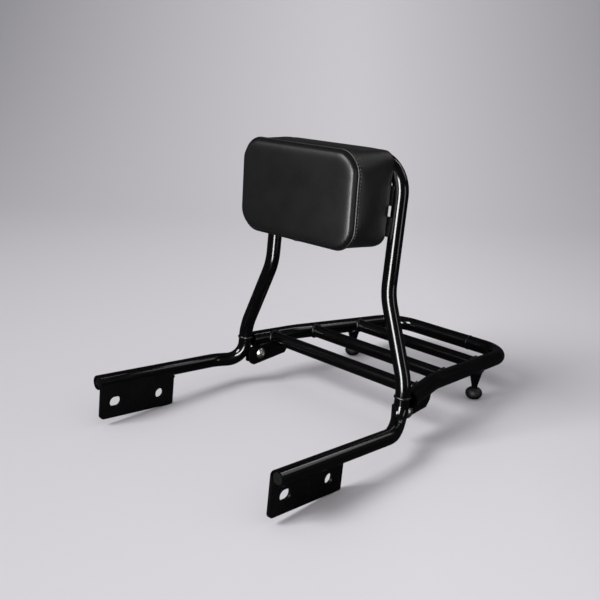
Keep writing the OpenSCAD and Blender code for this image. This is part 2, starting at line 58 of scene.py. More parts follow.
def srgb(code: str, alpha: float = 1.0) -> tuple[float, float, float, float]:
    """Turn an sRGB hex colour into linear light.

    Args:
        code: the colour as "#rrggbb".
        alpha: opacity.

    Returns:
        Linear red, green, blue and alpha.
    """

    def linear(v: float) -> float:
        """One channel."""
        return v / 12.92 if v <= 0.04045 else ((v + 0.055) / 1.055) ** 2.4

    r, g, b = (linear(int(code[i : i + 2], 16) / 255) for i in (1, 3, 5))
    return r, g, b, alpha


def add_node(
    tree: bpy.types.NodeTree,
    kind: str,
    settings: Optional[dict[str, Any]] = None,
    inputs: Optional[dict[Any, Any]] = None,
) -> bpy.types.Node:
    """Add one node with its settings, values and links.

    Args:
        tree: the material's or world's node tree.
        kind: the node's Blender type name.
        settings: attributes to set on the node.
        inputs: input name or number to a value, or to a socket to link from.

    Returns:
        The new node.
    """
    node = tree.nodes.new(kind)
    for key, value in (settings or {}).items():
        setattr(node, key, value)
    for key, value in (inputs or {}).items():
        if isinstance(value, bpy.types.NodeSocket):
            tree.links.new(value, node.inputs[key])
        else:
            node.inputs[key].default_value = value
    return node


def ramp(
    tree: bpy.types.NodeTree, factor: bpy.types.NodeSocket, low: float, high: float
) -> bpy.types.NodeSocket:
    """Stretch a 0 to 1 pattern to run from low to high.

    Args:
        tree: the node tree.
        factor: the pattern.
        low: what 0 becomes.
        high: what 1 becomes.

    Returns:
        The stretched value's socket.
    """
    node = add_node(
        tree, "ShaderNodeMapRange", {}, {"Value": factor, "To Min": low, "To Max": high}
    )
    return node.outputs["Result"]


def noise(
    tree: bpy.types.NodeTree, place: bpy.types.NodeSocket, size: float, detail: float
) -> bpy.types.NodeSocket:
    """Add a cloudy pattern.

    Args:
        tree: the node tree.
        place: the coordinates.
        size: how large its blotches are, in mm.
        detail: how many finer layers it has.

    Returns:
        The pattern, from 0 to 1.
    """
    inputs = {"Vector": place, "Scale": 1 / (size * MM), "Detail": detail}
    return add_node(tree, "ShaderNodeTexNoise", {}, inputs).outputs["Fac"]


def blend(
    tree: bpy.types.NodeTree, factor: bpy.types.NodeSocket, first: str, second: str
) -> bpy.types.NodeSocket:
    """Run from one colour to another.

    Args:
        tree: the node tree.
        factor: the pattern.
        first: the sRGB colour where the pattern is 0.
        second: the sRGB colour where it is 1.

    Returns:
        The colour's socket.
    """
    inputs = {"Factor": factor, "A": srgb(first), "B": srgb(second)}
    node = add_node(tree, "ShaderNodeMix", {"data_type": "RGBA"}, inputs)
    return node.outputs["Result"]


def bump(
    tree: bpy.types.NodeTree,
    height: bpy.types.NodeSocket,
    rise: float,
    strength: float,
    under: Optional[bpy.types.NodeSocket] = None,
) -> bpy.types.NodeSocket:
    """Raise a surface by a pattern.

    Args:
        tree: the node tree.
        height: the pattern.
        rise: how high 1 stands, in mm.
        strength: how much of it shows.
        under: a normal that is bumped already.

    Returns:
        The new normal's socket.
    """
    inputs = {"Height": height, "Distance": rise * MM, "Strength": strength}
    if under:
        inputs["Normal"] = under
    return add_node(tree, "ShaderNodeBump", {}, inputs).outputs["Normal"]


def swap_in_reflections(
    tree: bpy.types.NodeTree, seen: bpy.types.NodeSocket, mirrored: bpy.types.NodeSocket
) -> bpy.types.NodeSocket:
    """Look one way, and another way in the mirror of a gloss coat.

    Args:
        tree: the node tree.
        seen: the shader that the camera and soft light see.
        mirrored: the shader that reflections see.

    Returns:
        The mixed shader's socket.
    """
    path = add_node(tree, "ShaderNodeLightPath")
    inputs = {0: path.outputs["Is Glossy Ray"], 1: seen, 2: mirrored}
    return add_node(tree, "ShaderNodeMixShader", {}, inputs).outputs["Shader"]


def deselect() -> None:
    """Leave nothing selected and no object in edit mode."""
    if bpy.context.object and bpy.context.object.mode != "OBJECT":
        bpy.ops.object.mode_set(mode="OBJECT")
    bpy.ops.object.select_all(action="DESELECT")


def active() -> bpy.types.Object:
    """Find the object that the last operator made.

    Returns:
        The object.
    """
    return bpy.context.view_layer.objects.active


def choose(obj: bpy.types.Object) -> None:
    """Make an object the only selected one, and the active one.

    Args:
        obj: the object.
    """
    deselect()
    obj.select_set(True)
    bpy.context.view_layer.objects.active = obj


def bake_place(obj: bpy.types.Object) -> None:
    """Move an object's place, turn and scale into its mesh.

    Args:
        obj: the object.
    """
    choose(obj)
    bpy.ops.object.transform_apply(location=True, rotation=True, scale=True)


def apply_all(obj: bpy.types.Object) -> None:
    """Apply an object's modifiers in order.

    Args:
        obj: the object.
    """
    choose(obj)
    for name in [m.name for m in obj.modifiers]:
        bpy.ops.object.modifier_apply(modifier=name)


def subdivide(obj: bpy.types.Object) -> None:
    """Add one level of subdivision, which is applied later.

    Args:
        obj: the object.
    """
    finer = obj.modifiers.new("finer", "SUBSURF")
    finer.levels = finer.render_levels = 1


def join(parts: Sequence[bpy.types.Object], name: str) -> bpy.types.Object:
    """Join pieces into one mesh.

    Args:
        parts: the pieces.
        name: the name of the result.

    Returns:
        The joined object.
    """
    deselect()
    for part in parts:
        part.select_set(True)
    bpy.context.view_layer.objects.active = parts[0]
    if len(parts) > 1:
        bpy.ops.object.join()
    out = active()
    out.name = name
    out.data.name = name
    return out


def bead(
    points: Sequence[Point],
    radius: float,
    closed: bool = False,
    ripple: float = 0.0,
    pitch: float = 2.2,
    swell: Optional[Callable[[Point], float]] = None,
) -> bpy.types.Object:
    """Draw a round cord or weld bead along points and make it a mesh.

    Args:
        points: the line it follows, in mm, close together.
        radius: its radius in mm.
        closed: whether the line runs round.
        ripple: share by which a weld's ripples change the radius.
        pitch: distance from one ripple to the next in mm.
        swell: gives a factor for the radius at a point.

    Returns:
        The mesh object.
    """
    deselect()
    bpy.ops.curve.primitive_nurbs_path_add()
    obj = active()
    curve = obj.data
    curve.splines.clear()
    line = curve.splines.new("POLY")
    line.points.add(len(points) - 1)
    run = 0.0
    for i, p in enumerate(points):
        if i:
            run += (Vector(p) - Vector(points[i - 1])).length
        wave = 1 + ripple * abs(math.sin(math.pi * run / pitch)) - ripple / 2
        if not closed and ripple:
            # A bead starts and ends in a small crater.
            edge = min(i, len(points) - 1 - i)
            wave *= (0.45, 0.8, 1.0)[min(edge, 2)]
        line.points[i].co = (*(c * MM for c in p), 1)
        line.points[i].radius = wave * (swell(p) if swell else 1.0)
    line.use_cyclic_u = closed
    curve.dimensions = "3D"
    curve.bevel_depth = radius * MM
    curve.bevel_resolution = 3
    curve.use_fill_caps = not closed
    choose(obj)
    bpy.ops.object.convert(target="MESH")
    obj = active()
    bake_place(obj)
    bpy.ops.object.shade_smooth()
    return obj


def line_points(a: Point, b: Point, step: float = 0.7) -> list[Point]:
    """Points on a straight line.

    Args:
        a: its start in mm.
        b: its end in mm.
        step: about how far apart the points are.

    Returns:
        The points, with both ends.
    """
    start, end = Vector(a), Vector(b)
    count = max(2, int((end - start).length / step))
    return [tuple(start.lerp(end, i / count)) for i in range(count + 1)]


# Finishes


@dataclass(frozen=True)
class Finish:
    """A finish that a material is made from.

    Attributes:
        name: the real material's name.
        colour: its sRGB colour.
        roughness: its mean roughness.
    """

    name: str
    colour: str
    roughness: float

    def start(self) -> tuple[bpy.types.Material, bpy.types.NodeTree, bpy.types.Node, Any]:
        """Make the material with its shader.

        Returns:
            The material, its tree, its shader and the Object coordinates.
        """
        material = bpy.data.materials.new(self.name)
        material.use_nodes = True
        tree = material.node_tree
        tree.nodes.clear()
        place = add_node(tree, "ShaderNodeTexCoord").outputs["Object"]
        shader = add_node(
            tree,
            "ShaderNodeBsdfPrincipled",
            {},
            {"Base Color": srgb(self.colour), "Roughness": self.roughness},
        )
        add_node(
            tree,
            "ShaderNodeOutputMaterial",
            {},
            {"Surface": shader.outputs["BSDF"]},
        )
        return material, tree, shader, place

    def make(self) -> bpy.types.Material:
        """Build the material.

        Returns:
            The material.
        """
        raise NotImplementedError


@dataclass(frozen=True)
class PowderCoat(Finish):
    """Baked powder coat: a black plastic skin, almost wet in gloss, with faint
    orange peel, so that highlights stay long and sharp but waver a little.

    Attributes:
        peel_mm: size of the orange peel.
        peel: its height in mm.
    """

    peel_mm: float = 3.0
    peel: float = 0.012

    def make(self) -> bpy.types.Material:
        """Build the material.

        Returns:
            The material.
        """
        material, tree, shader, place = self.start()
        shader.inputs["IOR"].default_value = 1.5
        shader.inputs["Coat Weight"].default_value = 0.2
        shader.inputs["Coat Roughness"].default_value = 0.06
        # Slow changes of gloss, as powder flows out unevenly: 25 mm across.
        cloud = noise(tree, place, 25.0, 2.0)
        rough = ramp(tree, cloud, self.roughness * 0.75, self.roughness * 1.3)
        tree.links.new(rough, shader.inputs["Roughness"])
        tint = blend(tree, cloud, self.colour, "#070708")
        tree.links.new(tint, shader.inputs["Base Color"])
        peel = noise(tree, place, self.peel_mm, 1.0)
        tree.links.new(bump(tree, peel, self.peel, 1.0), shader.inputs["Normal"])
        return material


@dataclass(frozen=True)
class TurnedStainless(Finish):
    """Cold-headed A2 stainless steel: pale grey metal with fine turning lines
    round the head, which smear its highlight.

    Attributes:
        grain_mm: spacing of the turning lines, drawn coarser than real.
    """

    grain_mm: float = 0.5

    def make(self) -> bpy.types.Material:
        """Build the material.

        Returns:
            The material.
        """
        material, tree, shader, place = self.start()
        shader.inputs["Metallic"].default_value = 1.0
        grain = noise(tree, place, self.grain_mm, 3.0)
        rough = ramp(tree, grain, self.roughness * 0.7, self.roughness * 1.4)
        tree.links.new(rough, shader.inputs["Roughness"])
        tree.links.new(bump(tree, grain, 0.02, 0.6), shader.inputs["Normal"])
        return material


@dataclass(frozen=True)
class Moulded(Finish):
    """Moulded rubber or plastic: dull black, with the fine spark-eroded grain
    that the mould leaves.

    Attributes:
        grain_mm: size of the grain.
        grain: its height in mm.
    """

    grain_mm: float = 0.7
    grain: float = 0.03

    def make(self) -> bpy.types.Material:
        """Build the material.

        Returns:
            The material.
        """
        material, tree, shader, place = self.start()
        grain = noise(tree, place, self.grain_mm, 2.0)
        # Dust and handling dull it in patches 12 mm across.
        dust = noise(tree, place, 12.0, 3.0)
        rough = ramp(tree, dust, self.roughness * 0.85, self.roughness * 1.1)
        tree.links.new(rough, shader.inputs["Roughness"])
        tree.links.new(bump(tree, grain, self.grain, 1.0), shader.inputs["Normal"])
        return material


@dataclass(frozen=True)
class UpholsteryVinyl(Finish):
    """Expanded vinyl on knitted cloth: satin black with an embossed leather
    grain of about 1.3 mm, broad soft highlights and a slight sheen.

    Attributes:
        grain_mm: size of the embossed cells.
        grain: their depth in mm.
    """

    grain_mm: float = 1.3
    grain: float = 0.05

    def make(self) -> bpy.types.Material:
        """Build the material.

        Returns:
            The material.
        """
        material, tree, shader, place = self.start()
        shader.inputs["IOR"].default_value = 1.52
        shader.inputs["Sheen Weight"].default_value = 0.04
        shader.inputs["Sheen Roughness"].default_value = 0.4
        cells = add_node(
            tree,
            "ShaderNodeTexVoronoi",
            {"feature": "DISTANCE_TO_EDGE"},
            {"Vector": place, "Scale": 1 / (self.grain_mm * MM)},
        ).outputs["Distance"]
        pebble = add_node(
            tree,
            "ShaderNodeMapRange",
            {"interpolation_type": "SMOOTHSTEP"},
            {"Value": cells, "From Max": 0.22, "To Max": 1.0},
        ).outputs["Result"]
        cloud = noise(tree, place, 30.0, 3.0)
        rough = ramp(tree, cloud, self.roughness * 0.86, self.roughness * 1.14)
        tree.links.new(rough, shader.inputs["Roughness"])
        # Painted shade: the grain's furrows are darker, where less light reaches.
        tone = blend(tree, pebble, "#070708", self.colour)
        tree.links.new(tone, shader.inputs["Base Color"])
        grain = bump(tree, pebble, self.grain, 0.7)
        # Soft unevenness of the foam underneath, 14 mm across.
        foam = noise(tree, place, 14.0, 1.0)
        tree.links.new(bump(tree, foam, 0.15, 0.6, grain), shader.inputs["Normal"])
        return material


@dataclass(frozen=True)
class Grained(Finish):
    """Plywood or open-cell foam: matt, with a speckle at the size of its
    fibres or cells.

    Attributes:
        second: the speckle's other sRGB colour.
        cell_mm: size of the cells.
        stretch: how much longer than wide the cells are.
    """

    second: str = "#6b5233"
    cell_mm: float = 1.5
    stretch: float = 1.0

    def make(self) -> bpy.types.Material:
        """Build the material.

        Returns:
            The material.
        """
        material, tree, shader, place = self.start()
        turned = add_node(
            tree,
            "ShaderNodeMapping",
            {},
            {"Vector": place, "Scale": (1 / self.stretch, 1.0, 1.0)},
        ).outputs["Vector"]
        speckle = noise(tree, turned, self.cell_mm, 4.0)
        tone = blend(tree, speckle, self.colour, self.second)
        tree.links.new(tone, shader.inputs["Base Color"])
        tree.links.new(bump(tree, speckle, 0.2, 0.8), shader.inputs["Normal"])
        return material


@dataclass(frozen=True)
class Palette:
    """The materials of the whole part."""

    # Gloss powder coat on tube: near-black with long sharp highlights.
    tube: PowderCoat = PowderCoat("gloss_black_powder_coat_on_tube", "#030304", 0.15)
    # The same coat on cut sheet, a little duller because it is sprayed thinner.
    sheet: PowderCoat = PowderCoat(
        "gloss_black_powder_coat_on_sheet", "#040405", 0.26, peel_mm=4.0, peel=0.01
    )
    # Coated weld bead: the coat flows over the ripples and stays glossy.
    weld: PowderCoat = PowderCoat(
        "powder_coated_weld_bead", "#050506", 0.36, peel_mm=1.5, peel=0.03
    )
    # Stainless button heads: pale, with a smeared highlight.
    steel: TurnedStainless = TurnedStainless("cold_headed_stainless_steel", "#c4c3bf", 0.3)
    # Natural rubber: dull, a soft grey where light grazes it.
    rubber: Moulded = Moulded("moulded_black_rubber", "#0c0c0c", 0.55)
    # Polyethylene tube plug: dull black, a little waxy.
    plug: Moulded = Moulded("moulded_polyethylene_plug", "#040404", 0.4, 0.5, 0.02)
    # Embossed vinyl: satin black with broad soft highlights.
    vinyl: UpholsteryVinyl = UpholsteryVinyl("satin_black_upholstery_vinyl", "#0d0d0f", 0.42)
    # Bonded black polyester thread, slightly shinier than the vinyl; its mid grey colour is a
    # painted highlight, the glint that shows each stitch as a light dot.
    thread: Moulded = Moulded("black_polyester_thread_painted_glint", "#6c6c70", 0.4, 0.25, 0.05)
    # Birch plywood inside the pad.
    plywood: Grained = Grained("birch_plywood", "#a98c5f", 0.7, stretch=14.0)
    # Grey polyurethane foam inside the pad.
    foam: Grained = Grained("grey_polyurethane_foam", "#8c8c84", 0.95, "#5f5f59", 1.0)


# Assemblies


class Workshop:
    """Hands out the materials and puts finished pieces on the part."""

    def __init__(self, palette: Palette) -> None:
        """Make each material once.

        Args:
            palette: the finishes.
        """
        self.materials: dict[str, bpy.types.Material] = {
            name: getattr(palette, name).make() for name in palette.__dataclass_fields__
        }

    def dress(self, obj: bpy.types.Object, material: str) -> None:
        """Give an object one material on all its faces.

        Args:
            obj: the object.
            material: the palette's name for it.
        """
        obj.data.materials.clear()
        obj.data.materials.append(self.materials[material])

    def dress_nodes(self, names: Iterable[str], material: str) -> None:
        """Give CAD nodes a material.

        Args:
            names: the nodes.
            material: the palette's name for it.
        """
        for name in names:
            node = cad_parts[name]
            if not node.data.materials:
                node.data.materials.append(self.materials[material])
            for i in range(len(node.data.materials)):
                node.data.materials[i] = self.materials[material]
            LOG.info("dressed %s in %s", name, self.materials[material].name)

    def deliver(
        self, obj: bpy.types.Object, name: str, material: str
    ) -> bpy.types.Object:
        """Name, dress and attach a finished piece.

        Args:
            obj: the piece.
            name: its name.
            material: the palette's name for its finish.

        Returns:
            The piece.
        """
        bake_place(obj)
        obj.name = name
        obj.data.name = name
        self.dress(obj, material)
        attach(obj, "root")
        LOG.info("made %s: %d faces", name, len(obj.data.polygons))
        return obj


class Side(Enum):
    """A side of the motorcycle. Its value is the sign of X there."""

    LEFT = 1
    RIGHT = -1


@dataclass(frozen=True)
class Weld:
    """A kind of weld bead, in mm.

    Attributes:
        radius: the bead's radius.
        pitch: distance from one ripple to the next.
        ripple: share by which the ripples change the radius.
    """

    radius: float
    pitch: float = 2.0
    ripple: float = 0.35

    def lay(self, points: Sequence[Point], closed: bool = False) -> bpy.types.Object:
        """Lay the bead along a seam.

        Args:
            points: the seam's points in mm.
            closed: whether the seam runs round.

        Returns:
            The bead.
        """
        return bead(points, self.radius, closed, self.ripple, self.pitch)


@dataclass
class Tubework:
    """Rails, hoop and rack as the source has them, and the welds on them.

    All sizes are in mm, in the part's own frame.
    """

    tube_r: float = 9.5
    loop_r: float = 11.0
    bar_r: float = 9.0
    leg_x: float = 142.5
    # The side tubes' middle line: distance behind the joint, half gap, height.
    side_line: tuple[Point, Point, Point] = (
        (14.0, 143.0, 65.0),
        (86.0, 127.5, 64.0),
        (310.0, 106.0, 41.0),
    )
    # How far behind the joint the cross bars and the feet are.
    bars: tuple[float, ...] = (45.0, 122.0, 217.0)
    foot_reach: float = 212.0
    post_r: float = 9.5
    # Where the loop is closed, and how far its bead is ground below the tube.
    seam_x: float = 40.0
    seam_flush: float = 0.35
    # The tabs' outer and inner faces with the beads' offsets, and their height.
    tab_edges: tuple[tuple[float, float], ...] = ((139.0, 0.5), (133.0, -0.3))
    tab_z: tuple[float, float] = (39.0, 52.0)
    # The rack plates' beads: across, height, and from where to where behind.
    rack_weld_x: float = 128.6
    rack_weld_z: float = 58.6
    rack_weld_run: tuple[float, float] = (16.0, 34.0)
    # The rails' front ends, nose-up angle and toe, and the plates under them.
    rail_front: tuple[float, float, float] = (163.5, -234.0, 53.18)
    rail_pitch: float = 5.0
    rail_toe: float = 0.746
    plate_len: float = 114.0
    plate_t: float = 4.0
    plate_runs: tuple[tuple[float, float], ...] = ((6.0, 28.0), (44.0, 70.0), (86.0, 113.0))
    # How far the plates' beads lie outside and below the corner they fill.
    fillet_out: float = 0.7
    fillet_down: float = 0.5
    # The bead behind a plate: gap to its end, then the low and the high end.
    corner_gap: float = 0.2
    corner_low: tuple[float, float] = (0.4, -1.0)
    corner_high: tuple[float, float] = (0.6, -3.0)
    # How far a bead's middle stands off the tubes that it joins.
    weld_lift: float = 0.3
    bar_spread: float = 0.5
    ring_points: int = 80
    seam_points: int = 72
    bar_weld: Weld = Weld(1.8)
    seam_bead: Weld = Weld(1.0, 2.2, 0.3)
    foot_weld: Weld = Weld(1.4)
    tab_weld: Weld = Weld(1.4)
    rack_weld: Weld = Weld(1.3)
    plate_weld: Weld = Weld(1.6, 2.2)
    corner_weld: Weld = Weld(1.5, 2.2)
    tube_nodes: tuple[str, ...] = (
        "left_side_rail",
        "right_side_rail",
        "backrest_hoop",
        "rack_loop_left",
        "rack_loop_right",
        "rack_bar_front",
        "rack_bar_middle",
        "rack_bar_rear",
    )
    sheet_nodes: tuple[str, ...] = (
        "left_mounting_plate",
        "right_mounting_plate",
        "left_hoop_tab",
        "right_hoop_tab",
        "left_rack_plate",
        "right_rack_plate",
        "upper_pad_strap",
        "lower_pad_strap",
        "left_foot_post",
        "right_foot_post",
    )

    def side_axis(self, reach: float, side: Side) -> tuple[Vector, Vector]:
        """The middle line of a rack side tube at a distance behind the joint.

        Args:
            reach: the distance behind the hoop joint.
            side: which tube.

        Returns:
            The point on the line there, and the line's direction.
        """
        first = 0 if reach < self.side_line[1][0] else 1
        (r0, x0, z0), (r1, x1, z1) = self.side_line[first : first + 2]
        a = Vector((side.value * x0, JOINT_Y + r0, z0))
        b = Vector((side.value * x1, JOINT_Y + r1, z1))
        return a.lerp(b, (reach - r0) / (r1 - r0)), (b - a).normalized()

    def saddle(
        self, start: Vector, way: Vector, radius: float, reach: float, side: Side
    ) -> list[Point]:
        """The line where a round piece meets a side tube.

        Args:
            start: a point on the piece's axis, away from the side tube.
            way: the direction from there to the side tube.
            radius: the piece's radius.
            reach: where it meets the tube, behind the hoop joint.
            side: which tube.

        Returns:
            Points round the seam.
        """
        p, d = self.side_axis(reach, side)
        across = way.cross(Vector((0, 1, 0))).normalized()
        up = across.cross(way).normalized()
        points = []
        for k in range(self.ring_points):
            a = 2 * math.pi * k / self.ring_points
            w = start + (across * math.cos(a) + up * math.sin(a)) * radius - p
            # The seam is where this line of the piece enters the side tube.
            qa = 1 - way.dot(d) ** 2
            qb = 2 * (w.dot(way) - way.dot(d) * w.dot(d))
            qc = w.dot(w) - w.dot(d) ** 2 - (self.loop_r + self.weld_lift) ** 2
            t = (-qb - math.sqrt(max(0.0, qb * qb - 4 * qa * qc))) / (2 * qa)
            points.append(tuple(w + p + way * t))
        return points

    def bar_welds(self) -> list[bpy.types.Object]:
        """Saddle-shaped beads where the cross bars meet the loop.

        Returns:
            One bead for each bar end.
        """
        made = []
        for reach in self.bars:
            for side in Side:
                middle, _ = self.side_axis(reach, side)
                start = Vector((0, middle.y, middle.z))
                way = Vector((side.value, 0, 0))
                ring = self.saddle(start, way, self.bar_r + self.bar_spread, reach, side)
                made.append(self.bar_weld.lay(ring, True))
        return made

    def seam_weld(self) -> list[bpy.types.Object]:
        """The butt weld that closes the rack's loop, ground almost flush.

        Returns:
            The one bead.
        """
        y, z = JOINT_Y + self.side_line[2][0], self.side_line[2][2]
        r = self.loop_r - self.seam_flush
        turns = [2 * math.pi * k / self.seam_points for k in range(self.seam_points)]
        ring = [(self.seam_x, y + r * math.cos(a), z + r * math.sin(a)) for a in turns]
        return [self.seam_bead.lay(ring, True)]

    def foot_welds(self) -> list[bpy.types.Object]:
        """Beads where the foot posts meet the loop from below.

        Returns:
            One bead for each post.
        """
        made = []
        radius = self.post_r + self.weld_lift
        for side in Side:
            middle, _ = self.side_axis(self.foot_reach, side)
            start = Vector((middle.x, middle.y, 0))
            ring = self.saddle(start, Vector((0, 0, 1)), radius, self.foot_reach, side)
            made.append(self.foot_weld.lay(ring, True))
        return made

    def tab_welds(self) -> list[bpy.types.Object]:
        """Upright beads where the tabs leave the rails.

        Returns:
            One bead for each face of each tab.
        """
        made = []
        low, high = self.tab_z
        for side in Side:
            for face, offset in self.tab_edges:
                x = side.value * (face + offset)
                behind = math.sqrt(max(0.0, self.tube_r**2 - (self.leg_x - face) ** 2))
                y = JOINT_Y + behind + self.weld_lift
                made.append(self.tab_weld.lay(line_points((x, y, low), (x, y, high))))
        return made

    def rack_plate_welds(self) -> list[bpy.types.Object]:
        """Beads along the rack plates' upper inner edges.

        Returns:
            One bead for each plate.
        """
        made = []
        first, last = (JOINT_Y + y for y in self.rack_weld_run)
        for side in Side:
            x = side.value * self.rack_weld_x
            line = line_points((x, first, self.rack_weld_z), (x, last, self.rack_weld_z))
            made.append(self.rack_weld.lay(line))
        return made

    def on_rail(self, x: float, y: float, z: float, side: Side) -> Point:
        """Find a place that is given from a rail's front end.

        Args:
            x: outward from the rail's middle line.
            y: back along it.
            z: up from it.
            side: which rail.

        Returns:
            The place in the part's frame.
        """
        p, t = math.radians(self.rail_pitch), math.radians(self.rail_toe)
        y1 = y * math.cos(p) + z * math.sin(p)
        z1 = -y * math.sin(p) + z * math.cos(p)
        ex, ey, ez = self.rail_front
        return (
            side.value * (ex + x * math.cos(t) - y1 * math.sin(t)),
            JOINT_Y + ey + x * math.sin(t) + y1 * math.cos(t),
            ez + z1,
        )

    def plate_welds(self) -> list[bpy.types.Object]:
        """Fillet beads between the mounting plates and the rails.

        Returns:
            The beads under both rails and behind both plates.
        """
        made = []
        outer = -self.tube_r + self.plate_t
        top = -math.sqrt(self.tube_r**2 - outer**2)
        x, z = outer + self.fillet_out, top - self.fillet_down
        end = self.plate_len + self.corner_gap
        for side in Side:
            for y0, y1 in self.plate_runs:
                line = line_points(self.on_rail(x, y0, z, side), self.on_rail(x, y1, z, side))
                made.append(self.plate_weld.lay(line))
            # The weld runs round the plate's rear upper corner.
            (low_x, low_z), (high_x, high_z) = self.corner_low, self.corner_high
            low = self.on_rail(outer + low_x, end, top + low_z, side)
            high = self.on_rail(-self.tube_r + high_x, end, high_z, side)
            made.append(self.corner_weld.lay(line_points(low, high)))
        return made

    def build(self, shop: Workshop) -> None:
        """Dress the CAD nodes and add the welds.

        Args:
            shop: where materials come from and pieces go.
        """
        shop.dress_nodes(self.tube_nodes, "tube")
        shop.dress_nodes(self.sheet_nodes, "sheet")
        shop.dress_nodes(("left_joint_weld", "right_joint_weld"), "weld")
        shop.dress_nodes(("left_rail_plug", "right_rail_plug"), "plug")
        shop.dress_nodes(("left_rubber_foot", "right_rubber_foot"), "rubber")
        for name, make in (
            ("rack_bar_welds", self.bar_welds),
            ("loop_seam_weld", self.seam_weld),
            ("foot_post_welds", self.foot_welds),
            ("hoop_tab_welds", self.tab_welds),
            ("rack_plate_welds", self.rack_plate_welds),
            ("mounting_plate_welds", self.plate_welds),
        ):
            shop.deliver(join(make(), name), name, "weld")


@dataclass
class Fasteners:
    """Screws, sleeve nuts and washers, all stainless."""

    nodes: tuple[str, ...] = (
        "left_rack_screw",
        "right_rack_screw",
        "left_sleeve_nut",
        "right_sleeve_nut",
        "left_screw_washer",
        "right_screw_washer",
        "pad_screws",
        "pad_washers",
        "pad_inserts",
    )

    def build(self, shop: Workshop) -> None:
        """Dress the fasteners.

        Args:
            shop: where materials come from.
        """
        shop.dress_nodes(self.nodes, "steel")


@dataclass
class Pad:
    """The upholstered pad: cover, piping and stitches, in mm.

    Its own frame has X across, Y to the rear from the back face, Z up the pad.
    """

    width: float = 192.0
    height: float = 119.0
    depth: float = 60.0
    corner_r: float = 30.0
    corner_segments: int = 10
    back_edge_r: float = 4.5
    back_segments: int = 4
    lean: float = 2.0
    hoop_lean: float = 5.1
    middle_z: float = 306.0
    back_y: float = JOINT_Y + 7.81
    # The blank is this much smaller all round, because the stuffing swells it.
    start_inset: float = 1.6
    voxel: float = 4.0
    # The cloth is held along the piped seam and on the board.
    seam_depth: float = 3.0
    seam_width: float = 6.5
    back_hold: float = 0.9
    pressure: float = 4.0
    frames: int = 20
    cap: float = 4.0
    # The front panel's crown: height, how soon it rises, and where it starts.
    crown: float = 7.0
    crown_run: float = 3.6
    crown_from: float = 1.5
    crown_depth: float = 9.0
    crown_blend: float = 6.0
    rim: float = 4.0
    # The furrow that the stitches draw into the side band.
    stitch_y: float = 6.4
    furrow: float = 0.9
    furrow_width: float = 1.8
    furrow_reach: float = 5.0
    furrow_band: float = 8.0
    # The back follows the hoop's lean, has squarer corners and bulges a little.
    lean_from: float = -30.0
    lean_run: float = 24.0
    rear_corner_r: float = 15.0
    square_from: float = 12.0
    rear_reach: float = 4.5
    bulge_from: float = -14.0
    bulge_run: float = 12.0
    hoop_clear: float = 0.6
    # The piping, whose ends lap under the middle of the lower edge.
    piping_r: float = 1.4
    piping_inset: float = 1.5
    piping_sink: float = 2.0
    lap_x: float = 2.0
    lap_width: float = 5.0
    lap_swell: float = 0.4
    stitch_len: float = 3.0
    stitch_pitch: float = 4.4
    thread_r: float = 0.75
    thread_lift: float = 0.1
    # The stitches are laid onto the cover from this far outside it.
    lay_from: float = 3.0

    def place(self) -> Matrix:
        """From the pad's own frame in mm to the part's frame in metres.

        Returns:
            The matrix.
        """
        return (
            Matrix.Translation((0, self.back_y * MM, self.middle_z * MM))
            @ Matrix.Rotation(math.radians(-self.lean), 4, "X")
            @ Matrix.Scale(MM, 4)
        )

    def outline(self, inset: float, y: float, step: float = 1.5) -> list[Point]:
        """Points round the pad's outline, in its own frame.

        Args:
            inset: how far inside the outline they lie.
            y: their depth.
            step: about how far apart they are.

        Returns:
            The points, in order.
        """
        w, h = self.width / 2 - inset, self.height / 2 - inset
        r = self.corner_r - inset
        points: list[Point] = []
        corners = ((1, 1, 0), (-1, 1, 90), (-1, -1, 180), (1, -1, 270))
        for n, (sx, sz, start) in enumerate(corners):
            count = max(4, int(r * math.pi / 2 / step))
            for k in range(count + 1):
                a = math.radians(start + 90 * k / count)
                points.append(
                    (sx * (w - r) + r * math.cos(a), y, sz * (h - r) + r * math.sin(a))
                )
            nx, nz, _ = corners[(n + 1) % 4]
            a = math.radians(start + 90)
            nxt = (nx * (w - r) + r * math.cos(a), y, nz * (h - r) + r * math.sin(a))
            run = line_points(points[-1], nxt, step)
            points.extend(run[1:-1])
        return points

    def blank(self) -> bpy.types.Object:
        """The pad's body before it is blown up: a block with round corners.

        Returns:
            The object, in the part's frame.
        """
        deselect()
        bpy.ops.mesh.primitive_cube_add(size=1, location=(0, 0, 0))
        obj = active()
        obj.name = "pad_upholstery"
        inset = self.start_inset
        obj.scale = (
            self.width - 2 * inset,
            self.depth - inset,
            self.height - 2 * inset,
        )
        obj.location = (0, -(self.depth - inset) / 2, 0)
        bake_place(obj)
        # First the four edges that run from front to back are rounded.
        bpy.ops.object.mode_set(mode="EDIT")
        bpy.ops.mesh.select_mode(type="EDGE")
        bpy.ops.mesh.select_all(action="DESELECT")
        bpy.ops.object.mode_set(mode="OBJECT")
        for edge in obj.data.edges:
            a, b = (obj.data.vertices[i].co for i in edge.vertices)
            edge.select = abs(a.y - b.y) > 1
        bpy.ops.object.mode_set(mode="EDIT")
        bpy.ops.mesh.bevel(
            offset=self.corner_r - inset, segments=self.corner_segments, affect="EDGES"
        )
        # Then the edge round the back face.
        bpy.ops.mesh.select_all(action="DESELECT")
        bpy.ops.object.mode_set(mode="OBJECT")
        for edge in obj.data.edges:
            a, b = (obj.data.vertices[i].co for i in edge.vertices)
            edge.select = a.y > -1e-3 and b.y > -1e-3
        bpy.ops.object.mode_set(mode="EDIT")
        bpy.ops.mesh.bevel(
            offset=self.back_edge_r, segments=self.back_segments, affect="EDGES"
        )
        bpy.ops.object.mode_set(mode="OBJECT")
        remesh = obj.modifiers.new("even_mesh", "REMESH")
        remesh.mode = "VOXEL"
        remesh.voxel_size = self.voxel
        apply_all(obj)
        return obj

